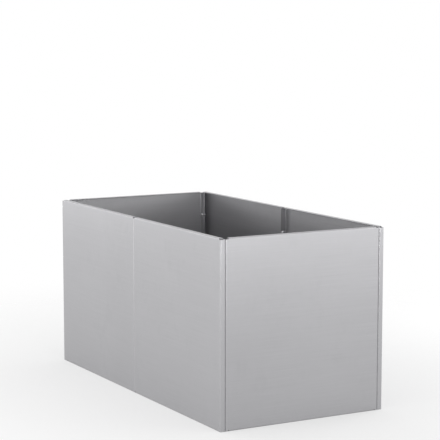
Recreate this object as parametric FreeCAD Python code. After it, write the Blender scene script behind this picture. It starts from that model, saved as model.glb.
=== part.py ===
import FreeCAD, Part
import math
import os

# A free-standing rectangular floor planter of folded sheet steel, in millimetres.
# Each long wall is two panels that meet at mid length, and each end wall is one panel.
# A panel has a hemmed rim lip and a foot lip, both turned inwards, and upright seam flanges
# that are bolted to the flanges of the panels beside it, inside the planter.
# The long panels wrap round the corners, so the corner seams lie on the end walls.
# Two drained trays rest on the foot lips and make the base, and a channel brace ties the
# middles of the long walls together.
# X runs along the planter, Y from its front to its rear and Z up, from the floor below its centre.

# Whole planter
LENGTH = 800.0
WIDTH = 400.0
HEIGHT = 400.0

# Wall panels
SHEET = 1.0
BEND_INSIDE = 1.5
CORNER_RETURN = 12.0
SEAM_FLANGE = 15.0
RIM_LIP = 10.0
HEM_GAP = 0.4
HEM_BEND_CLEARANCE = 2.0
FOOT_LIP = 20.0
LIP_SETBACK = 8.0
FOOT_RELIEF = 1.5

# Base trays
TRAY_SHEET = 1.0
TRAY_BEND_INSIDE = 1.5
TRAY_WALL_CLEARANCE = 1.0
TRAY_SEAM_CLEARANCE = 4.0
TRAY_SKIRT = 15.0
TRAY_FLANGE = 20.0
TRAY_BOLT_PITCH = 120.0
TRAY_BOLT_COUNT = 3
DRAIN_DIAMETER = 12.0
DRAIN_PITCH = 110.0
DRAIN_COUNT = 3

# Cross brace
BRACE_SHEET = 1.5
BRACE_BEND_INSIDE = 1.5
BRACE_HEIGHT = 25.0
BRACE_FLANGE = 12.0
BRACE_SEAM_CLEARANCE = 5.0
BRACE_WALL_CLEARANCE = 1.0
BRACE_TAB_RADIUS = 5.0

# Button-head screws, washers and nuts
BOLT_COUNT = 3
BOLT_END_DISTANCE = 60.0
SCREW_DIAMETER = 4.9
SCREW_TAIL = 3.0
SCREW_TIP_CHAMFER = 0.5
HEAD_DIAMETER = 9.5
HEAD_HEIGHT = 2.75
HEAD_RIM = 0.4
HEAD_FLAT_DIAMETER = 4.6
SOCKET_FLATS = 3.0
SOCKET_DEPTH = 1.6
BOLT_HOLE = 5.5
WASHER_DIAMETER = 10.0
WASHER_BORE = 5.3
WASHER_THICKNESS = 1.0
NUT_FLATS = 8.0
NUT_HEIGHT = 4.0
NUT_BORE = 5.0
NUT_CHAMFER_ANGLE = math.radians(30)

# How far a cut runs past the metal
OVERRUN = 1.0

# Places and sizes that follow from those above
HALF_LENGTH = LENGTH / 2
HALF_WIDTH = WIDTH / 2
BEND_OUTSIDE = BEND_INSIDE + SHEET
CORNER_SEAM_Y = HALF_WIDTH - CORNER_RETURN
LONG_LIP_START = BEND_OUTSIDE + FOOT_RELIEF
LONG_RIM_END = HALF_LENGTH - LIP_SETBACK
LONG_FOOT_END = HALF_LENGTH - SEAM_FLANGE - LIP_SETBACK
END_LIP_HALF = CORNER_SEAM_Y - LIP_SETBACK
BOLT_INSET = (BEND_OUTSIDE + SEAM_FLANGE) / 2
BOLT_STEP = (HEIGHT - 2 * BOLT_END_DISTANCE) / (BOLT_COUNT - 1)
BOLT_HEIGHTS = [BOLT_END_DISTANCE + BOLT_STEP * row for row in range(BOLT_COUNT)]
BRACE_Z = BOLT_HEIGHTS[BOLT_COUNT // 2]
TRAY_FLANGE_FLAT = TRAY_FLANGE - TRAY_BEND_INSIDE - TRAY_SHEET
TRAY_BOLT_Z = SHEET + TRAY_FLANGE - TRAY_FLANGE_FLAT / 2
SCREW_LENGTH = WASHER_THICKNESS + 2 * SHEET + NUT_HEIGHT + SCREW_TAIL

ORIGIN = FreeCAD.Vector(0, 0, 0)
X_AXIS = FreeCAD.Vector(1, 0, 0)
Y_AXIS = FreeCAD.Vector(0, 1, 0)
Z_AXIS = FreeCAD.Vector(0, 0, 1)


def left_of(direction):
    """The direction a quarter turn to the left, in the plane of a section."""
    return FreeCAD.Vector(-direction.y, direction.x, 0)


def heading(start, end):
    return (end - start).normalize()


def section_side(corners, bends, offset):
    """The edges along one side of a bent sheet, at offset to the left of its mid-line."""
    runs = [heading(start, end) for start, end in zip(corners, corners[1:])]
    reached = corners[0] + left_of(runs[0]) * offset
    edges = []
    for corner, radius, before, after in zip(corners[1:], bends, runs, runs[1:]):
        turn = math.atan2(left_of(before).dot(after), before.dot(after))
        hand = math.copysign(1, turn)
        setback = radius * math.tan(abs(turn) / 2)
        bend_start = corner - before * setback
        centre = bend_start + left_of(before) * (hand * radius)
        arc_start = bend_start + left_of(before) * offset
        arc_middle = centre + heading(centre, corner) * (radius - hand * offset)
        arc_end = corner + after * setback + left_of(after) * offset
        if not reached.isEqual(arc_start, Part.Precision.confusion()):
            edges.append(Part.LineSegment(reached, arc_start).toShape())
        edges.append(Part.Arc(arc_start, arc_middle, arc_end).toShape())
        reached = arc_end
    last = corners[-1] + left_of(runs[-1]) * offset
    edges.append(Part.LineSegment(reached, last).toShape())
    return edges


def bent_sheet(corners, bends, sheet, axes, sweep):
    """A sheet bent along the sharp mid-line corners, on the two axes given, and swept square to them.

    The bends are the inside radii at the corners between the first and the last.
    """
    corners = [FreeCAD.Vector(u, v, 0) for u, v in corners]
    middle_bends = [radius + sheet / 2 for radius in bends]
    left = section_side(corners, middle_bends, sheet / 2)
    right = section_side(corners, middle_bends, -sheet / 2)
    ends = [
        Part.LineSegment(left[0].firstVertex().Point, right[0].firstVertex().Point).toShape(),
        Part.LineSegment(left[-1].lastVertex().Point, right[-1].lastVertex().Point).toShape(),
    ]
    section = Part.Face(Part.Wire(Part.__sortEdges__(left + right + ends)))
    u_axis, v_axis = axes
    normal = u_axis.cross(v_axis)
    to_axes = FreeCAD.Matrix(
        u_axis.x, v_axis.x, normal.x, 0,
        u_axis.y, v_axis.y, normal.y, 0,
        u_axis.z, v_axis.z, normal.z, 0,
        0, 0, 0, 1,
    )
    start, end = sweep
    section.transformShape(to_axes)
    section.translate(normal * start)
    return section.extrude(normal * (end - start))


def joined(*shapes):
    return shapes[0].fuse(list(shapes[1:])).removeSplitter()


def box_between(low, high):
    low = FreeCAD.Vector(*low)
    size = FreeCAD.Vector(*high) - low
    return Part.makeBox(size.x, size.y, size.z, low)


def drilled(shape, spots, axis, diameter, reach):
    """The shape with a hole at each spot, along the axis and for the same reach to either side."""
    holes = [Part.makeCylinder(diameter / 2, 2 * reach, spot - axis * reach, axis) for spot in spots]
    return shape.cut(holes)


def turned_round(shape):
    """A copy at the opposite place, half a turn round the planter's upright axis."""
    copy = shape.copy()
    copy.rotate(ORIGIN, Z_AXIS, math.degrees(math.pi))
    return copy


def seam_spots(x, y):
    return [FreeCAD.Vector(x, y, z) for z in BOLT_HEIGHTS]


def corner_spots(x_side, y_side):
    return seam_spots(x_side * (HALF_LENGTH - BOLT_INSET), y_side * CORNER_SEAM_Y)


def middle_spots(y_side):
    return seam_spots(0, y_side * (HALF_WIDTH - BOLT_INSET))


def tray_spots():
    first = -TRAY_BOLT_PITCH * (TRAY_BOLT_COUNT - 1) / 2
    return [
        FreeCAD.Vector(0, first + TRAY_BOLT_PITCH * place, TRAY_BOLT_Z) for place in range(TRAY_BOLT_COUNT)
    ]


def foot_profile():
    """Foot lip and lower wall, as depth in from the outer face and height, with their bend."""
    middle = SHEET / 2
    corners = [(FOOT_LIP, middle), (middle, middle), (middle, HEIGHT / 2)]
    return corners, [BEND_INSIDE]


def rim_profile():
    """Upper wall and hemmed rim lip, as depth in from the outer face and height, with their bends."""
    middle = SHEET / 2
    hem_z = HEIGHT - SHEET - HEM_GAP - middle
    corners = [
        (middle, HEIGHT / 2),
        (middle, HEIGHT - middle),
        (RIM_LIP - middle, HEIGHT - middle),
        (RIM_LIP - middle, hem_z),
        (BEND_OUTSIDE + HEM_BEND_CLEARANCE, hem_z),
    ]
    return corners, [BEND_INSIDE, HEM_GAP / 2, HEM_GAP / 2]


def long_panel():
    """The front right panel: seam flange, wall, corner and return flange, with its two lips."""
    middle = SHEET / 2
    wall_y = middle - HALF_WIDTH
    return_y = -CORNER_SEAM_Y - middle
    plan = [
        (middle, SEAM_FLANGE - HALF_WIDTH),
        (middle, wall_y),
        (HALF_LENGTH - middle, wall_y),
        (HALF_LENGTH - middle, return_y),
        (HALF_LENGTH - SEAM_FLANGE, return_y),
    ]
    upright = bent_sheet(
        plan, [BEND_INSIDE] * 3, SHEET, (X_AXIS, Y_AXIS), (0, HEIGHT - BEND_OUTSIDE)
    )
    relief = box_between(
        (LONG_LIP_START - FOOT_RELIEF, -HALF_WIDTH - OVERRUN, -OVERRUN),
        (LONG_FOOT_END + FOOT_RELIEF, SHEET + OVERRUN - HALF_WIDTH, BEND_OUTSIDE),
    )
    lips = [
        bent_sheet(
            [(depth - HALF_WIDTH, height) for depth, height in profile],
            bends, SHEET, (Y_AXIS, Z_AXIS), (LONG_LIP_START, lip_end),
        )
        for (profile, bends), lip_end in ((foot_profile(), LONG_FOOT_END), (rim_profile(), LONG_RIM_END))
    ]
    panel = joined(upright.cut(relief), *lips)
    panel = drilled(panel, middle_spots(-1), X_AXIS, BOLT_HOLE, SHEET + OVERRUN)
    return drilled(panel, corner_spots(1, -1), Y_AXIS, BOLT_HOLE, SHEET + OVERRUN)


def end_panel():
    """The right end panel: a wall between two seam flanges, with its two lips."""
    middle = SHEET / 2
    flange_y = CORNER_SEAM_Y - middle
    plan = [
        (HALF_LENGTH - SEAM_FLANGE, -flange_y),
        (HALF_LENGTH - middle, -flange_y),
        (HALF_LENGTH - middle, flange_y),
        (HALF_LENGTH - SEAM_FLANGE, flange_y),
    ]
    upright = bent_sheet(
        plan, [BEND_INSIDE] * 2, SHEET, (X_AXIS, Y_AXIS), (0, HEIGHT - BEND_OUTSIDE)
    )
    relief = box_between(
        (HALF_LENGTH - SHEET - OVERRUN, -END_LIP_HALF - FOOT_RELIEF, -OVERRUN),
        (HALF_LENGTH + OVERRUN, END_LIP_HALF + FOOT_RELIEF, BEND_OUTSIDE),
    )
    lips = [
        bent_sheet(
            [(height, HALF_LENGTH - depth) for depth, height in profile],
            bends, SHEET, (Z_AXIS, X_AXIS), (-END_LIP_HALF, END_LIP_HALF),
        )
        for profile, bends in (foot_profile(), rim_profile())
    ]
    panel = joined(upright.cut(relief), *lips)
    spots = corner_spots(1, -1) + corner_spots(1, 1)
    return drilled(panel, spots, Y_AXIS, BOLT_HOLE, SHEET + OVERRUN)


def base_tray():
    """The right tray: a plate on the foot lips, notched at the seams, with a skirt on three sides."""
    middle = TRAY_SHEET / 2
    plate_z = SHEET + middle
    skirt_z = SHEET + TRAY_SKIRT
    side_y = HALF_WIDTH - SHEET - TRAY_WALL_CLEARANCE - middle
    end_x = HALF_LENGTH - SHEET - TRAY_WALL_CLEARANCE - middle
    across = [(-side_y, skirt_z), (-side_y, plate_z), (side_y, plate_z), (side_y, skirt_z)]
    along = [(middle, SHEET + TRAY_FLANGE), (middle, plate_z), (end_x, plate_z), (end_x, skirt_z)]
    bolt_tail = SHEET + NUT_HEIGHT + SCREW_TAIL
    bolt_head = CORNER_RETURN + SHEET + WASHER_THICKNESS + HEAD_HEIGHT
    half_span = HALF_WIDTH - max(SEAM_FLANGE, bolt_head) - TRAY_SEAM_CLEARANCE
    run = (bolt_tail + TRAY_SEAM_CLEARANCE, HALF_LENGTH - SEAM_FLANGE - TRAY_SEAM_CLEARANCE)
    bends = [TRAY_BEND_INSIDE] * 2
    tray = joined(
        bent_sheet(across, bends, TRAY_SHEET, (Y_AXIS, Z_AXIS), run),
        bent_sheet(along, bends, TRAY_SHEET, (X_AXIS, Z_AXIS), (-half_span, half_span)),
    )
    steps = [DRAIN_PITCH * (place - (DRAIN_COUNT - 1) / 2) for place in range(DRAIN_COUNT)]
    drains = [FreeCAD.Vector(end_x / 2 + step_x, step_y, plate_z) for step_x in steps for step_y in steps]
    tray = drilled(tray, drains, Z_AXIS, DRAIN_DIAMETER, TRAY_SHEET + OVERRUN)
    return drilled(tray, tray_spots(), X_AXIS, BOLT_HOLE, TRAY_SHEET + OVERRUN)


def cross_brace():
    """A channel with flat tabs, bolted to the right of both middle seams."""
    middle = BRACE_SHEET / 2
    web_x = SHEET + middle
    flange_x = SHEET + BRACE_FLANGE
    low_z = BRACE_Z - BRACE_HEIGHT / 2
    high_z = BRACE_Z + BRACE_HEIGHT / 2
    channel = [
        (flange_x, low_z + middle),
        (web_x, low_z + middle),
        (web_x, high_z - middle),
        (flange_x, high_z - middle),
    ]
    channel_half = HALF_WIDTH - SEAM_FLANGE - BRACE_SEAM_CLEARANCE
    tab_half = HALF_WIDTH - BEND_OUTSIDE - BRACE_WALL_CLEARANCE
    bend_height = BRACE_BEND_INSIDE + BRACE_SHEET
    tabs = box_between(
        (SHEET, -tab_half, low_z + bend_height), (SHEET + BRACE_SHEET, tab_half, high_z - bend_height)
    )
    corners = [edge for edge in tabs.Edges if edge.BoundBox.XLength > edge.BoundBox.DiagonalLength / 2]
    brace = joined(
        bent_sheet(
            channel, [BRACE_BEND_INSIDE] * 2, BRACE_SHEET, (X_AXIS, Z_AXIS), (-channel_half, channel_half)
        ),
        tabs.makeFillet(BRACE_TAB_RADIUS, corners),
    )
    spots = [spot for spot in middle_spots(-1) + middle_spots(1) if spot.z == BRACE_Z]
    return drilled(brace, spots, X_AXIS, BOLT_HOLE, SHEET + BRACE_SHEET + OVERRUN)


def hexagon(flats, height):
    """A hexagonal bar on the XY plane, upwards for the height."""
    radius = flats / 2 / math.cos(math.pi / 6)
    turns = [math.pi / 3 * side for side in range(7)]
    corners = [FreeCAD.Vector(radius * math.cos(turn), radius * math.sin(turn), 0) for turn in turns]
    return Part.Face(Part.makePolygon(corners)).extrude(Z_AXIS * height)


def screw():
    """A button-head screw with a hexagon socket, pointing down, its head seated at zero height."""
    radius = HEAD_DIAMETER / 2
    flat = HEAD_FLAT_DIAMETER / 2
    dome_z = (radius**2 + HEAD_RIM**2 - flat**2 - HEAD_HEIGHT**2) / (2 * (HEAD_RIM - HEAD_HEIGHT))
    dome_radius = math.hypot(radius, HEAD_RIM - dome_z)
    turn = (math.atan2(HEAD_RIM - dome_z, radius) + math.atan2(HEAD_HEIGHT - dome_z, flat)) / 2
    foot = FreeCAD.Vector(radius, 0, 0)
    rim = FreeCAD.Vector(radius, 0, HEAD_RIM)
    dome = FreeCAD.Vector(dome_radius * math.cos(turn), 0, dome_z + dome_radius * math.sin(turn))
    crown = FreeCAD.Vector(flat, 0, HEAD_HEIGHT)
    top = FreeCAD.Vector(0, 0, HEAD_HEIGHT)
    outline = [
        Part.LineSegment(ORIGIN, foot).toShape(),
        Part.LineSegment(foot, rim).toShape(),
        Part.Arc(rim, dome, crown).toShape(),
        Part.LineSegment(crown, top).toShape(),
        Part.LineSegment(top, ORIGIN).toShape(),
    ]
    head = Part.Face(Part.Wire(outline)).revolve(ORIGIN, Z_AXIS, math.degrees(2 * math.pi))
    socket = hexagon(SOCKET_FLATS, SOCKET_DEPTH + OVERRUN)
    socket.translate(Z_AXIS * (HEAD_HEIGHT - SOCKET_DEPTH))
    shank = Part.makeCylinder(SCREW_DIAMETER / 2, SCREW_LENGTH, Z_AXIS * -SCREW_LENGTH)
    tip = [edge for edge in shank.Edges if edge.BoundBox.ZMax < -SCREW_LENGTH / 2]
    return joined(head.cut(socket), shank.makeChamfer(SCREW_TIP_CHAMFER, tip))


def washer():
    """A flat ring, its seat at zero height."""
    ring = Part.makeCylinder(WASHER_DIAMETER / 2, WASHER_THICKNESS)
    return drilled(ring, [ORIGIN], Z_AXIS, WASHER_BORE, WASHER_THICKNESS + OVERRUN)


def nut():
    """A hexagon nut with chamfered corners, upwards from zero height."""
    bar = hexagon(NUT_FLATS, NUT_HEIGHT)
    radius = NUT_FLATS / 2 / math.cos(math.pi / 6)
    inset = radius - NUT_FLATS / 2
    blank = Part.makeCylinder(radius, NUT_HEIGHT)
    rims = [edge for edge in blank.Edges if edge.isClosed()]
    blank = blank.makeChamfer(inset * math.tan(NUT_CHAMFER_ANGLE), inset, rims)
    return drilled(bar.common(blank), [ORIGIN], Z_AXIS, NUT_BORE, NUT_HEIGHT + OVERRUN)


def seam_fasteners(name, spots, towards_head, sheet, seats):
    """The screws, washers and nuts of one seam, as named groups.

    The spots lie where the two sheets meet, and the seats are the heights of the washers above them.
    """
    turn = FreeCAD.Rotation(Z_AXIS, towards_head)
    groups = {"screws": [], "washers": [], "nuts": []}
    for spot, seat in zip(spots, seats):
        stack = {
            "screws": (screw(), seat + WASHER_THICKNESS),
            "washers": (washer(), seat),
            "nuts": (nut(), -sheet - NUT_HEIGHT),
        }
        for kind, (piece, height) in stack.items():
            piece.Placement = FreeCAD.Placement(spot + towards_head * height, turn)
            groups[kind].append(piece)
    return {f"{name}_{kind}": Part.makeCompound(pieces) for kind, pieces in groups.items()}


front_right = long_panel()
front_left = front_right.mirror(ORIGIN, X_AXIS)
right_end = end_panel()
right_tray = base_tray()

nodes = {
    "front_right_panel": front_right,
    "front_left_panel": front_left,
    "rear_left_panel": turned_round(front_right),
    "rear_right_panel": turned_round(front_left),
    "right_end_panel": right_end,
    "left_end_panel": turned_round(right_end),
    "right_base_tray": right_tray,
    "left_base_tray": turned_round(right_tray),
    "cross_brace": cross_brace(),
}
braced_seats = [SHEET + BRACE_SHEET if z == BRACE_Z else SHEET for z in BOLT_HEIGHTS]
corner_seats = [SHEET] * BOLT_COUNT
tray_seats = [TRAY_SHEET] * TRAY_BOLT_COUNT
for y_name, y_side in (("front", -1), ("rear", 1)):
    nodes.update(seam_fasteners(f"{y_name}_seam", middle_spots(y_side), X_AXIS, SHEET, braced_seats))
    for x_name, x_side in (("left", -1), ("right", 1)):
        corner = f"{y_name}_{x_name}_corner"
        spots = corner_spots(x_side, y_side)
        nodes.update(seam_fasteners(corner, spots, Y_AXIS * -y_side, SHEET, corner_seats))
nodes.update(seam_fasteners("base_seam", tray_spots(), X_AXIS, TRAY_SHEET, tray_seats))

os.makedirs("parts", exist_ok=True)
for name, shape in nodes.items():
    shape.exportStep(f"parts/{name}.step")
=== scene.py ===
"""Looks of the folded steel floor planter: its sheets, fasteners, finishes, floor, light and camera.

The shapes are worked in millimetres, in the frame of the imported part, and scaled to metres at the end.
The finishes, the floor, the lamps and the camera are in metres.
"""
import math

import bmesh
import bpy
from mathutils import Matrix, Vector


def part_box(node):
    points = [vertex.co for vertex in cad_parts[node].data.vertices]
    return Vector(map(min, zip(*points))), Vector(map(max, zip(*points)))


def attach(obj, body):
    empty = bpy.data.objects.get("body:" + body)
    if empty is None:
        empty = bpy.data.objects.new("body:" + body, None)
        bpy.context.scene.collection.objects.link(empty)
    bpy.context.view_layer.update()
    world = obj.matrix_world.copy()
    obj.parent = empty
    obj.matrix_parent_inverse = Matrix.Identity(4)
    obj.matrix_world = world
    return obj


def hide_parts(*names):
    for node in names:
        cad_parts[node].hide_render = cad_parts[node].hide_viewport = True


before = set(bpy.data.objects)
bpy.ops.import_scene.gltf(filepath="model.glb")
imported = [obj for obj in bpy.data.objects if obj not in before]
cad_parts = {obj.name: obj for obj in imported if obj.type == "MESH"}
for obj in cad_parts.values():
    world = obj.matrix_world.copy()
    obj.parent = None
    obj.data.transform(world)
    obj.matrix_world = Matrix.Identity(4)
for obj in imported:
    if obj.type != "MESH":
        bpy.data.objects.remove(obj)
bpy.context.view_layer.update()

MM = 0.001
X = Vector((1, 0, 0))
Y = Vector((0, 1, 0))
Z = Vector((0, 0, 1))
QUARTER = math.pi / 2

# The long sides and the ends, and the way each lies from the middle
SIDES = (("front", -1), ("rear", 1))
ENDS = (("left", -1), ("right", 1))

# Whole planter, from the far corner of a packed panel
HALF_LENGTH, HALF_WIDTH, HEIGHT = (round(side / MM, 3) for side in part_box("rear_right_panel")[1])

# Wall panels. Bends are given by their outer radius.
SHEET = 1.0
BEND = 2.5
CORNER_RETURN = 12.0
SEAM_FLANGE = 15.0
RIM_LIP = 10.0
HEM_BEND = 1.2
HEM_EDGE = 4.5
FOOT_LIP = 20.0
LIP_SETBACK = 8.0
FOOT_RELIEF = 1.5
CORNER_SEAM = HALF_WIDTH - CORNER_RETURN
WALL_TOP = HEIGHT - BEND
HEM_RUN = RIM_LIP - BEND - HEM_BEND

# Base trays. The span is half the width of flange and end skirt, the run where the side skirts start and end.
TRAY_CLEARANCE = 1.0
TRAY_SIDE = HALF_WIDTH - SHEET - TRAY_CLEARANCE
TRAY_END = HALF_LENGTH - SHEET - TRAY_CLEARANCE
TRAY_SPAN = 179.25
TRAY_RUN = (12.0, 381.0)
TRAY_SKIRT = 15.0
TRAY_FLANGE = 20.0
DRAIN_RADIUS = 6.0
DRAIN_PITCH = 110.0
DRAIN_CENTRE = 198.75

# Cross brace
BRACE_SHEET = 1.5
BRACE_BEND = 3.0
BRACE_FLANGE = 12.0
BRACE_LOW = 187.5
BRACE_HIGH = 212.5
BRACE_CHANNEL = 180.0
BRACE_TAB = 196.5
BRACE_TAB_RADIUS = 5.0

# Screws, washers and nuts. Bores, holes and round outlines are given by their radius.
BOLT_HEIGHTS = (60.0, 200.0, 340.0)
BOLT_INSET = 8.75
BOLT_HOLE = 2.75
TRAY_BOLTS = (-120.0, 0.0, 120.0)
TRAY_BOLT_Z = 12.25
WASHER_RADIUS = 5.0
WASHER_BORE = 2.65
WASHER_THICKNESS = 1.0
HEAD_RADIUS = 4.75
HEAD_RIM = 0.4
HEAD_FLAT = 2.3
HEAD_HEIGHT = 2.75
SOCKET_FLATS = 3.0
SOCKET_DEPTH = 1.6
THREAD_CREST = 2.45
THREAD_ROOT = 2.05
THREAD_PITCH = 0.8
SCREW_LENGTH = 10.0
SCREW_TIP_CHAMFER = 0.2
NUT_FLATS = 8.0
NUT_HEIGHT = 4.0
NUT_BORE = 2.5
NUT_COUNTERSINK = 0.3
NUT_FACE = 0.97 * NUT_FLATS / 2
NUT_CONE = math.radians(30)
FIRST_TURN = math.radians(17)
NEXT_TURN = math.radians(41)

# One turn of the thread, as shares of its pitch and the radius reached there
THREAD_TURN = ((0.1, THREAD_ROOT), (0.45, THREAD_CREST), (0.6, THREAD_CREST), (0.95, THREAD_ROOT))

# Widths of the broken edges
SHEET_EDGE = 0.12
BRACE_EDGE = 0.15
WASHER_EDGE = 0.15
SCREW_EDGE = 0.06
NUT_EDGE = 0.06

# How finely round shapes are divided, how near two points are one, and what counts as a sharp edge
BEND_STEPS = 8
HOLE_SIDES = 32
ROUND_SIDES = 36
HEX_SIDES = 6
EDGE_STEPS = 2
MERGE = 0.001
SLACK = 0.01
CUT_SLACK = 0.1
SHARP_ANGLE = math.radians(40)
FLAT_WEIGHT = 100

# Half side of the square that is cut round a hole, in radii of the hole
HOLE_FRAME = 1.4


def only(kind, geometry):
    return [part for part in geometry if isinstance(part, kind)]


def ends_of(edges):
    """The vertices at the ends of some edges, each once and in order."""
    return list(dict.fromkeys(end for edge in edges for end in edge.verts))


def inside(point, low, high):
    return all(low[axis] <= point[axis] <= high[axis] for axis in range(3))


def grown(bm, edges, step):
    """Draw the edges out by one step. Gives the new edges."""
    made = bmesh.ops.extrude_edge_only(bm, edges=edges)["geom"]
    bmesh.ops.translate(bm, verts=only(bmesh.types.BMVert, made), vec=step)
    return only(bmesh.types.BMEdge, made)


class FoldedSheet:
    """A sheet folded step by step from a free edge. The mesh is its outer face until it gets its thickness.

    The fold attribute is 1 along the middle of each bend and 0 on the flats.
    """

    def __init__(self, *points):
        self.bm = bmesh.new()
        self.fold = self.bm.verts.layers.float.new("fold")
        corners = [self.bm.verts.new(point) for point in points]
        self.edge = [self.bm.edges.new(pair) for pair in zip(corners, corners[1:])]

    def flat(self, step):
        """Go on flat by one step."""
        self.edge = grown(self.bm, self.edge, step)

    def flat_to(self, along, start, stops):
        """Go on flat along an axis, with a line across the sheet at each stop."""
        for reached, stop in zip((start, *stops), stops):
            self.flat(along * (stop - reached))

    def bend(self, centre, axis, angle):
        """Go on round a bend."""
        before = set(self.bm.verts)
        last = bmesh.ops.spin(
            self.bm, geom=[*ends_of(self.edge), *self.edge], cent=centre, axis=axis, dvec=(0, 0, 0),
            angle=angle, steps=BEND_STEPS, use_merge=False, use_duplicate=False,
        )["geom_last"]
        for vert in set(self.bm.verts) - before - set(last):
            vert[self.fold] = 1.0
        self.edge = only(bmesh.types.BMEdge, last)

    def go_on_from(self, low, high):
        """Take up the free edges inside a box."""
        slack = (X + Y + Z) * SLACK
        low = Vector(low) - slack
        high = Vector(high) + slack
        self.edge = [
            edge for edge in self.bm.edges
            if edge.is_boundary and all(inside(end.co, low, high) for end in edge.verts)
        ]

    def cut_away(self, low, high):
        """Take out the faces whose middles are inside a box."""
        lost = [face for face in self.bm.faces if inside(face.calc_center_median(), low, high)]
        bmesh.ops.delete(self.bm, geom=lost, context="FACES")

    def face_at(self, spot, faces):
        """The first of some faces that the spot lies on."""
        return next(
            face for face in faces
            if abs(face.normal.dot(spot - face.calc_center_median())) < SLACK
            and bmesh.geometry.intersect_face_point(face, spot)
        )

    def punch(self, spot, radius):
        """Cut a round hole in the flat face that the spot lies on."""
        spot = Vector(spot)
        self.bm.normal_update()
        face = self.face_at(spot, self.bm.faces)
        normal = face.normal.copy()
        reach = HOLE_FRAME * radius
        for across in (normal.zxy, normal.yzx):
            for side in (-reach, reach):
                cut = bmesh.ops.bisect_plane(
                    self.bm, geom=[face, *face.edges, *face.verts], dist=MERGE,
                    plane_co=spot + across * side, plane_no=across,
                )
                face = self.face_at(spot, only(bmesh.types.BMFace, cut["geom"]))
        rim = list(face.edges)
        bmesh.ops.delete(self.bm, geom=[face], context="FACES_ONLY")
        cuts = HOLE_SIDES // len(rim) - 1
        split = bmesh.ops.subdivide_edges(self.bm, edges=rim, cuts=cuts)["geom_split"]
        ring = grown(self.bm, only(bmesh.types.BMEdge, split), (0, 0, 0))
        for end in ends_of(ring):
            end.co = spot + (end.co - spot).normalized() * radius

    def place(self, x_side, y_side):
        """Bring the sheet to its side and end of the planter."""
        bmesh.ops.scale(self.bm, vec=(x_side, y_side, 1), verts=self.bm.verts)

    def thicken(self, sheet, outwards):
        """Face the skin outwards, seen on its largest face, and give the sheet its thickness inwards."""
        bmesh.ops.remove_doubles(self.bm, verts=self.bm.verts, dist=MERGE)
        bmesh.ops.recalc_face_normals(self.bm, faces=self.bm.faces)
        largest = max(self.bm.faces, key=lambda face: face.calc_area())
        if largest.normal.dot(outwards) < 0:
            bmesh.ops.reverse_faces(self.bm, faces=self.bm.faces)
            self.bm.normal_update()
        bmesh.ops.solidify(self.bm, geom=list(self.bm.faces), thickness=sheet)
        return self.bm


def finished(bm, node, finish, edge_width):
    """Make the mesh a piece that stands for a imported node, with its sharp edges broken."""
    bmesh.ops.scale(bm, vec=(MM, MM, MM), verts=bm.verts)
    for face in bm.faces:
        face.smooth = True
    mesh = bpy.data.meshes.new(node + "_finished")
    bm.to_mesh(mesh)
    bm.free()
    piece = bpy.data.objects.new(node + "_finished", mesh)
    bpy.context.collection.objects.link(piece)
    mesh.materials.append(finish)
    edges = piece.modifiers.new("broken_edges", "BEVEL")
    edges.width = edge_width * MM
    edges.segments = EDGE_STEPS
    edges.limit_method = "ANGLE"
    edges.angle_limit = SHARP_ANGLE
    flats = piece.modifiers.new("true_flats", "WEIGHTED_NORMAL")
    flats.weight = FLAT_WEIGHT
    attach(piece, "root")
    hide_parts(node)


def on_wall(along, inwards, place, height):
    """A point on the outer face of the wall that runs along one axis and faces away from another."""
    out = HALF_WIDTH if along == X else HALF_LENGTH
    return along * place - inwards * out + Z * height


def foot_lip(sheet, along, inwards, start, end):
    """Turn a wall's foot inwards between two places along it, with a relief at either end."""
    low = on_wall(along, inwards, start, BEND)
    high = on_wall(along, inwards, end, BEND)
    relief = along * FOOT_RELIEF + (X + Y) * CUT_SLACK
    sheet.cut_away(low - relief - Z * BEND, high + relief)
    sheet.go_on_from(low, high)
    sheet.bend(low + inwards * BEND, along, QUARTER)
    sheet.flat(inwards * (FOOT_LIP - BEND))


def rim_lip(sheet, along, inwards, start, end):
    """Turn a wall's rim inwards between two places along it, and fold its hem under."""
    low = on_wall(along, inwards, start, WALL_TOP)
    high = on_wall(along, inwards, end, WALL_TOP)
    hem = on_wall(along, inwards, start, HEIGHT - HEM_BEND) + inwards * (RIM_LIP - HEM_BEND)
    sheet.go_on_from(low, high)
    sheet.bend(low + inwards * BEND, along, -QUARTER)
    sheet.flat(inwards * HEM_RUN)
    sheet.bend(hem, along, -2 * QUARTER)
    sheet.flat(inwards * (HEM_EDGE - RIM_LIP + HEM_BEND))


def long_panel(x_side, y_side):
    """One half of a long wall, from its middle seam round the corner to its return flange."""
    flange_y = SEAM_FLANGE - HALF_WIDTH
    corner_x = HALF_LENGTH - BEND
    lip_start = BEND + FOOT_RELIEF
    foot_end = HALF_LENGTH - SEAM_FLANGE - LIP_SETBACK
    rim_end = HALF_LENGTH - LIP_SETBACK
    sheet = FoldedSheet((0, flange_y, 0), (0, flange_y, BEND), (0, flange_y, WALL_TOP))
    sheet.flat(Y * (BEND - SEAM_FLANGE))
    sheet.bend((BEND, BEND - HALF_WIDTH, 0), Z, QUARTER)
    sheet.flat_to(X, BEND, (lip_start, foot_end, foot_end + FOOT_RELIEF, rim_end, corner_x))
    sheet.bend((corner_x, BEND - HALF_WIDTH, 0), Z, QUARTER)
    sheet.flat(Y * (CORNER_RETURN - 2 * BEND))
    sheet.bend((corner_x, -CORNER_SEAM - BEND, 0), Z, QUARTER)
    sheet.flat(X * (BEND - SEAM_FLANGE))
    foot_lip(sheet, X, Y, lip_start, foot_end)
    rim_lip(sheet, X, Y, lip_start, rim_end)
    for z in BOLT_HEIGHTS:
        sheet.punch((0, BOLT_INSET - HALF_WIDTH, z), BOLT_HOLE)
        sheet.punch((HALF_LENGTH - BOLT_INSET, -CORNER_SEAM, z), BOLT_HOLE)
    sheet.place(x_side, -y_side)
    return sheet.thicken(SHEET, Y * y_side)


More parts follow.
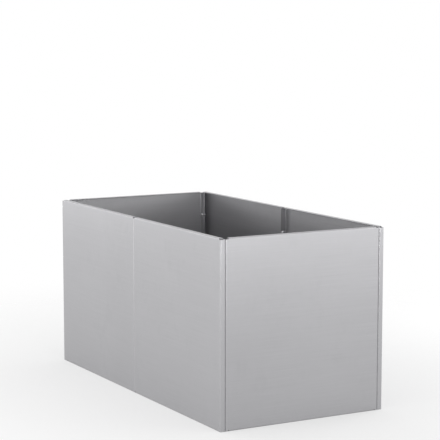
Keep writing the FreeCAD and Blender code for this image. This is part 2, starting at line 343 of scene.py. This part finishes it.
def end_panel(x_side):
    """One end wall, between its two seam flanges."""
    flange_x = HALF_LENGTH - SEAM_FLANGE
    corner_x = HALF_LENGTH - BEND
    corner_y = CORNER_SEAM - BEND
    lip_end = CORNER_SEAM - LIP_SETBACK
    relief_end = lip_end + FOOT_RELIEF
    sheet = FoldedSheet(*((flange_x, -CORNER_SEAM, z) for z in (0, BEND, WALL_TOP)))
    sheet.flat(X * (SEAM_FLANGE - BEND))
    sheet.bend((corner_x, -corner_y, 0), Z, QUARTER)
    sheet.flat_to(Y, -corner_y, (-relief_end, -lip_end, lip_end, relief_end, corner_y))
    sheet.bend((corner_x, corner_y, 0), Z, QUARTER)
    sheet.flat(X * (BEND - SEAM_FLANGE))
    foot_lip(sheet, Y, -X, -lip_end, lip_end)
    rim_lip(sheet, Y, -X, -lip_end, lip_end)
    for z in BOLT_HEIGHTS:
        for y in (-CORNER_SEAM, CORNER_SEAM):
            sheet.punch((HALF_LENGTH - BOLT_INSET, y, z), BOLT_HOLE)
    sheet.place(x_side, 1)
    return sheet.thicken(SHEET, X * x_side)


def base_tray(x_side):
    """One half of the base, folded up on all four sides and notched round the seams."""
    plate = SHEET
    flange_z = plate + TRAY_FLANGE
    bend_z = plate + BEND
    bend_x = TRAY_END - BEND
    bend_y = TRAY_SIDE - BEND
    skirt = Z * (TRAY_SKIRT - BEND)
    sheet = FoldedSheet((0, -TRAY_SPAN, flange_z), (0, TRAY_SPAN, flange_z))
    sheet.flat(Z * (BEND - TRAY_FLANGE))
    sheet.bend((BEND, 0, bend_z), Y, -QUARTER)
    sheet.flat_to(X, BEND, (*TRAY_RUN, bend_x))
    sheet.bend((bend_x, 0, bend_z), Y, -QUARTER)
    sheet.flat(skirt)
    for side in (-1, 1):
        sheet.go_on_from(*((x, side * TRAY_SPAN, plate) for x in TRAY_RUN))
        sheet.flat(Y * (side * (bend_y - TRAY_SPAN)))
        sheet.bend((0, side * bend_y, bend_z), X, side * QUARTER)
        sheet.flat(skirt)
    steps = (-DRAIN_PITCH, 0.0, DRAIN_PITCH)
    for x_step in steps:
        for y_step in steps:
            sheet.punch((DRAIN_CENTRE + x_step, y_step, plate), DRAIN_RADIUS)
    for y in TRAY_BOLTS:
        sheet.punch((0, y, TRAY_BOLT_Z), BOLT_HOLE)
    sheet.place(x_side, 1)
    return sheet.thicken(SHEET, -Z)


def cross_brace():
    """The channel between the middle seams, with a flat rounded tab at each end."""
    back = SHEET
    bend_x = back + BRACE_BEND
    flange_x = back + BRACE_FLANGE
    low = BRACE_LOW + BRACE_BEND
    high = BRACE_HIGH - BRACE_BEND
    sheet = FoldedSheet((flange_x, -BRACE_CHANNEL, BRACE_LOW), (flange_x, BRACE_CHANNEL, BRACE_LOW))
    sheet.flat(X * (bend_x - flange_x))
    sheet.bend((bend_x, 0, low), Y, QUARTER)
    sheet.flat(Z * (high - low))
    sheet.bend((bend_x, 0, high), Y, QUARTER)
    sheet.flat(X * (flange_x - bend_x))
    for side in (-1, 1):
        end = side * BRACE_CHANNEL
        sheet.go_on_from((back, end, low), (back, end, high))
        sheet.flat(Y * (side * BRACE_TAB - end))
        bmesh.ops.bevel(
            sheet.bm, geom=ends_of(sheet.edge), offset=BRACE_TAB_RADIUS, offset_type="OFFSET",
            affect="VERTICES", segments=BEND_STEPS, profile=0.5, material=-1,
        )
        sheet.punch((back, side * (HALF_WIDTH - BOLT_INSET), (low + high) / 2), BOLT_HOLE)
    return sheet.thicken(BRACE_SHEET, -X)


class TurnedOutline:
    """A line drawn step by step as radius and height, and turned round the upright axis."""

    def __init__(self, radius, height):
        self.bm = bmesh.new()
        self.tip = self.bm.verts.new((radius, 0, height))

    def to(self, radius, height):
        """Go straight on to a radius and height."""
        self.tip = bmesh.ops.extrude_vert_indiv(self.bm, verts=[self.tip])["verts"][0]
        self.tip.co = (radius, 0, height)

    def arc(self, centre_height, angle):
        """Go on along an arc round a point of the axis."""
        last = bmesh.ops.spin(
            self.bm, geom=[self.tip], cent=(0, 0, centre_height), axis=Y, dvec=(0, 0, 0), angle=angle,
            steps=BEND_STEPS, use_merge=False, use_duplicate=False,
        )["geom_last"]
        self.tip = only(bmesh.types.BMVert, last)[0]

    def turned(self):
        bmesh.ops.spin(
            self.bm, geom=[*self.bm.verts, *self.bm.edges], cent=(0, 0, 0), axis=Z, dvec=(0, 0, 0),
            angle=4 * QUARTER, steps=ROUND_SIDES, use_merge=True, use_duplicate=False,
        )
        bmesh.ops.remove_doubles(self.bm, verts=self.bm.verts, dist=MERGE)
        return self.bm


def hexagon(bm, flats, height):
    """A hexagonal ring of edges with as many points as a round ring has."""
    corners = bmesh.ops.create_circle(
        bm, segments=HEX_SIDES, radius=flats / 2 / math.cos(math.pi / HEX_SIDES),
        matrix=Matrix.Translation(Z * height),
    )["verts"]
    sides = list(dict.fromkeys(edge for corner in corners for edge in corner.link_edges))
    split = bmesh.ops.subdivide_edges(bm, edges=sides, cuts=ROUND_SIDES // HEX_SIDES - 1)["geom_split"]
    return only(bmesh.types.BMEdge, split)


def open_ring(bm, height):
    """The free edges at a height."""
    return [
        edge for edge in bm.edges
        if len(edge.link_faces) == 1 and all(abs(end.co.z - height) < MERGE for end in edge.verts)
    ]


def screw():
    """A button head with a hexagon socket over a threaded shank, its seat at zero height."""
    centre = (HEAD_RADIUS**2 + HEAD_RIM**2 - HEAD_FLAT**2 - HEAD_HEIGHT**2) / (2 * (HEAD_RIM - HEAD_HEIGHT))
    crown = math.atan2(HEAD_FLAT, HEAD_HEIGHT - centre)
    rim = math.atan2(HEAD_RADIUS, HEAD_RIM - centre)
    line = TurnedOutline(HEAD_FLAT, HEAD_HEIGHT)
    line.arc(centre, rim - crown)
    line.to(HEAD_RADIUS, 0)
    line.to(THREAD_ROOT, 0)
    for turn in range(int(SCREW_LENGTH / THREAD_PITCH)):
        for share, radius in THREAD_TURN:
            line.to(radius, -(turn + share) * THREAD_PITCH)
    line.to(THREAD_ROOT - SCREW_TIP_CHAMFER, -SCREW_LENGTH)
    line.to(0, -SCREW_LENGTH)
    bm = line.turned()
    crown_ring = open_ring(bm, HEAD_HEIGHT)
    socket = hexagon(bm, SOCKET_FLATS, HEAD_HEIGHT)
    bmesh.ops.bridge_loops(bm, edges=[*crown_ring, *socket])
    floor = grown(bm, socket, Z * -SOCKET_DEPTH)
    bottom = bmesh.ops.edgeloop_fill(bm, edges=floor)["faces"]
    bmesh.ops.poke(bm, faces=bottom, offset=0)
    return bm


def washer():
    """A flat ring with its seat at zero height."""
    line = TurnedOutline(WASHER_BORE, 0)
    line.to(WASHER_RADIUS, 0)
    line.to(WASHER_RADIUS, WASHER_THICKNESS)
    line.to(WASHER_BORE, WASHER_THICKNESS)
    line.to(WASHER_BORE, 0)
    return line.turned()


def nut():
    """A hexagon nut with coned corners and a countersunk bore, upwards from zero height."""
    middle = NUT_HEIGHT / 2
    line = TurnedOutline(NUT_BORE, middle)
    line.to(NUT_BORE, NUT_HEIGHT - NUT_COUNTERSINK)
    line.to(NUT_BORE + NUT_COUNTERSINK, NUT_HEIGHT)
    line.to(NUT_FACE, NUT_HEIGHT)
    bm = line.turned()
    face_ring = open_ring(bm, NUT_HEIGHT)
    waist = hexagon(bm, NUT_FLATS, middle)
    shoulder = grown(bm, waist, Z * middle)
    for corner in ends_of(shoulder):
        corner.co.z -= (corner.co.xy.length - NUT_FACE) * math.tan(NUT_CONE)
    bmesh.ops.bridge_loops(bm, edges=[*face_ring, *shoulder])
    bmesh.ops.mirror(
        bm, geom=[*bm.verts, *bm.edges, *bm.faces], matrix=Matrix.Translation(Z * -middle),
        merge_dist=MERGE, axis="Z",
    )
    bmesh.ops.remove_doubles(bm, verts=bm.verts, dist=MERGE)
    return bm


def fastened(make, spots, towards_head, heights):
    """Copies of one fastener along a seam, each turned a little further than the last."""
    upright = towards_head.to_track_quat("Z", "Y").to_matrix().to_4x4()
    row = bmesh.new()
    for place, (spot, height) in enumerate(zip(spots, heights)):
        bm = make()
        bmesh.ops.recalc_face_normals(bm, faces=bm.faces)
        turn = Matrix.Rotation(FIRST_TURN + NEXT_TURN * place, 4, "Z")
        seat = Matrix.Translation(Vector(spot) + towards_head * height)
        bmesh.ops.transform(bm, matrix=seat @ upright @ turn, verts=bm.verts)
        one = bpy.data.meshes.new("one_fastener")
        bm.to_mesh(one)
        bm.free()
        row.from_mesh(one)
        bpy.data.meshes.remove(one)
    return row


class Socket:
    """A node's output. Sums written with it add Math nodes to its tree."""

    def __init__(self, tree, socket):
        self.tree = tree
        self.socket = socket

    def maths(self, operation, *terms):
        node = self.tree.nodes.new("ShaderNodeMath")
        node.operation = operation
        for entry, term in zip(node.inputs, terms):
            if isinstance(term, Socket):
                self.tree.links.new(term.socket, entry)
            else:
                entry.default_value = term
        return Socket(self.tree, node.outputs[0])

    def __add__(self, other):
        return self.maths("ADD", self, other)

    def __sub__(self, other):
        return self.maths("SUBTRACT", self, other)

    def __rsub__(self, other):
        return self.maths("SUBTRACT", other, self)

    def __mul__(self, other):
        return self.maths("MULTIPLY", self, other)

    def __abs__(self):
        return self.maths("ABSOLUTE", self)

    __radd__ = __add__
    __rmul__ = __mul__


# The Mix node's two colours among its inputs, and their blend among its outputs
FIRST_COLOUR = 6
SECOND_COLOUR = 7
BLENDED_COLOUR = 2


class Nodes:
    """The node tree of a finish, the floor or the world."""

    def __init__(self, owner):
        owner.use_nodes = True
        self.tree = owner.node_tree
        self.tree.nodes.clear()

    def add(self, kind, settings=None, sockets=None, out=0):
        """Add a node, set it up, then give its sockets their values and links."""
        node = self.tree.nodes.new("ShaderNode" + kind)
        for name, value in (settings or {}).items():
            setattr(node, name, value)
        for name, value in (sockets or {}).items():
            if isinstance(value, Socket):
                self.tree.links.new(value.socket, node.inputs[name])
            else:
                node.inputs[name].default_value = value
        return Socket(self.tree, node.outputs[out]) if node.outputs else node

    def split(self, vector):
        """The X, Y and Z of a vector."""
        axes = self.add("SeparateXYZ", None, {"Vector": vector}).socket.node.outputs
        return [Socket(self.tree, axis) for axis in axes]

    def between(self, value, low, high):
        """0 below low, 1 above high and smooth between them."""
        return self.add(
            "MapRange", {"interpolation_type": "SMOOTHSTEP"},
            {"Value": value, "From Min": low, "From Max": high},
        )

    def blend(self, share, first, second):
        return self.add(
            "Mix", {"data_type": "RGBA"}, {"Factor": share, FIRST_COLOUR: first, SECOND_COLOUR: second},
            BLENDED_COLOUR,
        )

    def noise(self, place, scale, detail, roughness):
        """Soft noise from 0 to 1, with its own scale along X, Y and Z per metre."""
        spread = self.add("Mapping", None, {"Vector": place, "Scale": scale})
        return self.add(
            "TexNoise", None, {"Vector": spread, "Scale": 1.0, "Detail": detail, "Roughness": roughness}
        )

    def grain(self, place, axis, along, across, detail, roughness):
        """Noise that is drawn out along one axis."""
        scale = [along if name == axis else across for name in "XYZ"]
        return self.noise(place, scale, detail, roughness)

    def metal(self, colour, dullness, height, strength, depth):
        """Bare metal with a fine relief, as the surface of the finish."""
        relief = self.add("Bump", None, {"Strength": strength, "Distance": depth, "Height": height})
        surface = self.add("BsdfPrincipled", None, {
            "Base Color": colour,
            "Metallic": 1.0,
            "Roughness": dullness,
            "Normal": relief,
        })
        self.add("OutputMaterial", None, {"Surface": surface})


# Dark and light shade of each steel, and its roughness
WALL_SHADES = ((0.401, 0.399, 0.411, 1), (0.465, 0.463, 0.477, 1))
INNER_SHADES = ((0.38, 0.38, 0.39, 1), (0.48, 0.48, 0.49, 1))
FASTENER_SHADES = ((0.44, 0.44, 0.45, 1), (0.62, 0.62, 0.63, 1))
WALL_ROUGHNESS = 0.46
TRAY_ROUGHNESS = 0.52
BRACE_ROUGHNESS = 0.5
FASTENER_ROUGHNESS = 0.32

# Grain of the drawn sheets: scale along and across it per metre, detail and roughness of the noise
HAIRLINES = (8.0, 2600.0, 3.0, 0.6)
STREAKS = (2.5, 190.0, 2.0, 0.5)

# Other marks on the steel: scale along X, Y and Z per metre, detail and roughness of the noise
CLOUDS = ((4.0, 4.0, 4.0), 3.0, 0.5)
HANDLING = ((17.0, 17.0, 13.0), 4.0, 0.6)
RUBBING = ((60.0, 60.0, 60.0), 3.0, 0.5)
WATER_EDGE = ((38.0, 38.0, 38.0), 4.0, 0.6)
WATER_BREAKS = ((21.0, 21.0, 21.0), 2.0, 0.5)
SCRATCHES = ((1900.0, 600.0, 1900.0), 4.0, 0.65)
SMUDGES = ((160.0, 160.0, 160.0), 3.0, 0.5)

# Where such a noise begins to mark the steel, and where it marks it fully
HANDLED = (0.52, 0.8)
RUBBED = (0.3, 0.65)
WATER_BROKEN = (0.35, 0.6)

# Water marks: rise and fall of a ring from the middle of its drain, and how far its edge wavers
RING_RISE = (0.007, 0.016)
RING_FALL = (0.016, 0.019)
RING_WAVER = 0.022

# The middle of a noise, and of the way from the dark shade to the light one
MIDDLE = 0.5

# How far each mark moves the shade towards the light one, and the roughness
HAIRLINE_SHADE = 1.8
HAIRLINE_DULLNESS = 0.1
STREAK_SHADE = 0.35
CLOUD_SHADE = 0.7
CLOUD_DULLNESS = 0.08
# Folds: painted highlight, brighter colour along the bends; their lower roughness is wear from rubbing
FOLD_PAINTED_HIGHLIGHT = 0.3
RUBBED_DULLNESS = -0.08
HANDLED_SHADE = -0.15
HANDLED_DULLNESS = 0.06
WATER_SHADE = -0.3
WATER_DULLNESS = 0.08
SCRATCH_SHADE = 0.6
SCRATCH_DULLNESS = 0.14
SMUDGE_SHADE = 0.9
SMUDGE_DULLNESS = 0.12

# Strength and depth of the relief of the grain and of the scratches
GRAIN_RELIEF = (0.25, 0.0002)
SCRATCH_RELIEF = (0.1, 0.0001)


def water_marks(steel, place):
    """Broken rings where water stood round the drains, from 0 to 1."""
    half = DRAIN_PITCH / 2 * MM
    x_place, y_place = steel.split(place)[:2]
    x_near = x_place.maths("WRAP", abs(x_place) - DRAIN_CENTRE * MM, half, -half)
    y_near = y_place.maths("WRAP", y_place, half, -half)
    away = x_near.maths("SQRT", x_near * x_near + y_near * y_near)
    away = away + RING_WAVER * (steel.noise(place, *WATER_EDGE) - MIDDLE)
    ring = steel.between(away, *RING_RISE) * (1.0 - steel.between(away, *RING_FALL))
    return ring * steel.between(steel.noise(place, *WATER_BREAKS), *WATER_BROKEN)


def drawn_steel(name, axis, shades, roughness, stained=False):
    """Satin sheet steel with a fine grain drawn along one axis, and folds rubbed a little smoother and
    painted a little brighter as a highlight along the bends.

    The stained steel of the trays also has dull water marks.
    """
    material = bpy.data.materials.new(name)
    steel = Nodes(material)
    place = steel.add("TexCoord", out="Object")
    hairlines = steel.grain(place, axis, *HAIRLINES)
    streaks = steel.grain(place, axis, *STREAKS)
    clouds = steel.noise(place, *CLOUDS)
    handled = steel.between(steel.noise(place, *HANDLING), *HANDLED)
    folds = steel.add("Attribute", {"attribute_name": "fold"}, None, "Fac")
    # Mask of the folds: rubbed smoother as wear, and painted brighter as a highlight along the bends
    rubbed = folds * steel.between(steel.noise(place, *RUBBING), *RUBBED)
    shade = MIDDLE + HAIRLINE_SHADE * (hairlines - MIDDLE) + STREAK_SHADE * (streaks - MIDDLE)
    shade = shade + CLOUD_SHADE * (clouds - MIDDLE) + FOLD_PAINTED_HIGHLIGHT * rubbed + HANDLED_SHADE * handled
    dullness = roughness + HAIRLINE_DULLNESS * (hairlines - MIDDLE) + CLOUD_DULLNESS * (clouds - MIDDLE)
    dullness = dullness + HANDLED_DULLNESS * handled + RUBBED_DULLNESS * rubbed
    if stained:
        marks = water_marks(steel, place)
        shade = shade + WATER_SHADE * marks
        dullness = dullness + WATER_DULLNESS * marks
    steel.metal(steel.blend(shade, *shades), dullness, hairlines, *GRAIN_RELIEF)
    return material


def bright_steel(name, shades, roughness):
    """Turned and pressed fastener steel, with fine scratches and smudges of handling."""
    material = bpy.data.materials.new(name)
    steel = Nodes(material)
    place = steel.add("TexCoord", out="Object")
    scratches = steel.noise(place, *SCRATCHES)
    smudges = steel.noise(place, *SMUDGES)
    shade = MIDDLE + SCRATCH_SHADE * (scratches - MIDDLE) + SMUDGE_SHADE * (smudges - MIDDLE)
    dullness = roughness + SCRATCH_DULLNESS * (scratches - MIDDLE) + SMUDGE_DULLNESS * (smudges - MIDDLE)
    steel.metal(steel.blend(shade, *shades), dullness, scratches, *SCRATCH_RELIEF)
    return material


long_wall_steel = drawn_steel("long_wall_steel", "X", WALL_SHADES, WALL_ROUGHNESS)
end_wall_steel = drawn_steel("end_wall_steel", "Y", WALL_SHADES, WALL_ROUGHNESS)
tray_steel = drawn_steel("tray_steel", "X", INNER_SHADES, TRAY_ROUGHNESS, stained=True)
brace_steel = drawn_steel("brace_steel", "Y", INNER_SHADES, BRACE_ROUGHNESS)
fastener_steel = bright_steel("fastener_steel", FASTENER_SHADES, FASTENER_ROUGHNESS)

for y_name, y_side in SIDES:
    for x_name, x_side in ENDS:
        panel = long_panel(x_side, y_side)
        finished(panel, f"{y_name}_{x_name}_panel", long_wall_steel, SHEET_EDGE)
for x_name, x_side in ENDS:
    finished(end_panel(x_side), f"{x_name}_end_panel", end_wall_steel, SHEET_EDGE)
    finished(base_tray(x_side), f"{x_name}_base_tray", tray_steel, SHEET_EDGE)
finished(cross_brace(), "cross_brace", brace_steel, BRACE_EDGE)

# Each seam's bolts where its sheets meet, the way their heads point, and the heights of their washers
braced_seats = (SHEET, SHEET + BRACE_SHEET, SHEET)
plain_seats = (SHEET, SHEET, SHEET)
seams = {"base_seam": ([(0, y, TRAY_BOLT_Z) for y in TRAY_BOLTS], X, plain_seats)}
for y_name, y_side in SIDES:
    middle_y = y_side * (HALF_WIDTH - BOLT_INSET)
    seams[f"{y_name}_seam"] = ([(0, middle_y, z) for z in BOLT_HEIGHTS], X, braced_seats)
    for x_name, x_side in ENDS:
        corner_x = x_side * (HALF_LENGTH - BOLT_INSET)
        corner_spots = [(corner_x, y_side * CORNER_SEAM, z) for z in BOLT_HEIGHTS]
        seams[f"{y_name}_{x_name}_corner"] = (corner_spots, -Y * y_side, plain_seats)
for seam, (spots, towards_head, seats) in seams.items():
    fasteners = {
        "screws": (screw, [seat + WASHER_THICKNESS for seat in seats], SCREW_EDGE),
        "washers": (washer, seats, WASHER_EDGE),
        "nuts": (nut, [-SHEET - NUT_HEIGHT] * len(seats), NUT_EDGE),
    }
    for kind, (make, heights, edge_width) in fasteners.items():
        row = fastened(make, spots, towards_head, heights)
        finished(row, f"{seam}_{kind}", fastener_steel, edge_width)

# Floor: its size, where it fades out, its pale shade and the near black of its painted shadow under the
# planter, and how far it glows white where it is seen
FLOOR_RADIUS = 4.0
FLOOR_SIDES = 96
FLOOR_FADE = (0.6, 1.6)
FLOOR_PALE = (0.86, 0.86, 0.86, 1)
FLOOR_PAINTED_SHADOW = (0.04, 0.04, 0.04, 1)
FLOOR_GLOW = 0.4

# Light: the world's colour, its strength on the planter and where it is seen, and the softboxes
WHITE = (1, 1, 1, 1)
SOFT_STRENGTH = 0.9
SEEN_STRENGTH = 1.0
SOFTBOX_WIDTH = 0.7
SOFTBOX_HEIGHT = 0.35
SOFTBOX_REACH = 1.7

# Softbox pairs: turn from the front, height, height aimed at, power and spread, with turns in degrees
SOFTBOX_PAIRS = {
    "long_wall": (5, 0.55, 0.3, 5.8, 180),
    "corner": (-52, 0.55, 0.3, 2.3, 180),
    "end_wall": (-95, 0.5, 0.75, 1.0, 45),
}

# Camera: its place, its tilt down and turn in degrees, its sensor in millimetres, its lens in picture points
CAMERA_PLACE = (3.130386, -1.718364, 0.833047)
CAMERA_TILT = 7.206
CAMERA_TURN = 60.936
CAMERA_SENSOR = 36.0
CAMERA_LENS = 1566.648
PICTURE_SIDE = 440


def seen_rays(nodes):
    """1 for what the camera sees, also in metal and through glass, and 0 for light on its way."""
    camera = nodes.add("LightPath", out="Is Camera Ray")
    glossy = nodes.add("LightPath", out="Is Glossy Ray")
    through = nodes.add("LightPath", out="Is Transmission Ray")
    return camera.maths("MAXIMUM", camera.maths("MAXIMUM", camera, glossy), through)


def studio_floor():
    """A pale round floor that fades into the white round it, with a painted shadow, near black, under the
    planter behind its drains.
    """
    bm = bmesh.new()
    bmesh.ops.create_circle(bm, cap_ends=True, segments=FLOOR_SIDES, radius=FLOOR_RADIUS)
    mesh = bpy.data.meshes.new("studio_floor")
    bm.to_mesh(mesh)
    bm.free()
    floor = bpy.data.objects.new("studio_floor", mesh)
    bpy.context.collection.objects.link(floor)
    material = bpy.data.materials.new("studio_floor_paint")
    paint = Nodes(material)
    place = paint.add("TexCoord", out="Object")
    away = paint.add("VectorMath", {"operation": "LENGTH"}, {0: place}, "Value")
    x_place, y_place = (abs(axis) for axis in paint.split(place)[:2])
    # Painted shadow: under the planter's footprint the floor is painted near black and does not glow, so its
    # drains look dark
    beside_end = paint.between(x_place, (HALF_LENGTH - BEND) * MM, HALF_LENGTH * MM)
    beside_wall = paint.between(y_place, (HALF_WIDTH - BEND) * MM, HALF_WIDTH * MM)
    beside = beside_end.maths("MAXIMUM", beside_end, beside_wall)
    pale = paint.add("BsdfDiffuse", None, {"Color": FLOOR_PALE})
    # This dark diffuse is the painted shadow under the planter
    dark = paint.add("BsdfDiffuse", None, {"Color": FLOOR_PAINTED_SHADOW})
    white = paint.add("Emission", None, {"Strength": SEEN_STRENGTH})
    clear = paint.add("BsdfTransparent")
    ground = paint.add("MixShader", None, {"Fac": beside, 1: dark, 2: pale})
    glow = FLOOR_GLOW * beside * seen_rays(paint)
    lit = paint.add("MixShader", None, {"Fac": glow, 1: ground, 2: white})
    surface = paint.add("MixShader", None, {"Fac": paint.between(away, *FLOOR_FADE), 1: lit, 2: clear})
    paint.add("OutputMaterial", None, {"Surface": surface})
    mesh.materials.append(material)


def softbox_pair(name, turn, height, aim_height, power, spread):
    """Two like softboxes on opposite sides of the planter, turned from its front and rear."""
    for end, half_turn in (("a", 0), ("b", 180)):
        lamp = bpy.data.lights.new(f"{name}_softbox_{end}", "AREA")
        lamp.shape = "RECTANGLE"
        lamp.size = SOFTBOX_WIDTH
        lamp.size_y = SOFTBOX_HEIGHT
        lamp.energy = power
        lamp.spread = math.radians(spread)
        light = bpy.data.objects.new(lamp.name, lamp)
        bpy.context.collection.objects.link(light)
        around = Matrix.Rotation(math.radians(turn + half_turn), 3, "Z")
        light.location = around @ Vector((0, -SOFTBOX_REACH, height))
        light.rotation_euler = (Z * aim_height - light.location).to_track_quat("-Z", "Y").to_euler()
        light.visible_camera = False


def studio_light():
    """Soft white light from all round, and the softbox pairs."""
    world = bpy.data.worlds.new("white_studio")
    bpy.context.scene.world = world
    sky = Nodes(world)
    soft = sky.add("Background", None, {"Color": WHITE, "Strength": SOFT_STRENGTH})
    seen = sky.add("Background", None, {"Color": WHITE, "Strength": SEEN_STRENGTH})
    surface = sky.add("MixShader", None, {"Fac": seen_rays(sky), 1: soft, 2: seen})
    sky.add("OutputWorld", None, {"Surface": surface})
    for name, settings in SOFTBOX_PAIRS.items():
        softbox_pair(name, *settings)


def photo_camera():
    """A camera that sees the planter from the front right corner, a little from above."""
    data = bpy.data.cameras.new("photo_camera")
    data.sensor_width = CAMERA_SENSOR
    data.lens = CAMERA_LENS / PICTURE_SIDE * CAMERA_SENSOR
    camera = bpy.data.objects.new("photo_camera", data)
    bpy.context.collection.objects.link(camera)
    camera.location = CAMERA_PLACE
    camera.rotation_euler = (QUARTER - math.radians(CAMERA_TILT), 0, math.radians(CAMERA_TURN))
    bpy.context.scene.camera = camera


studio_floor()
studio_light()
photo_camera()
bpy.context.scene.view_settings.view_transform = "Standard"
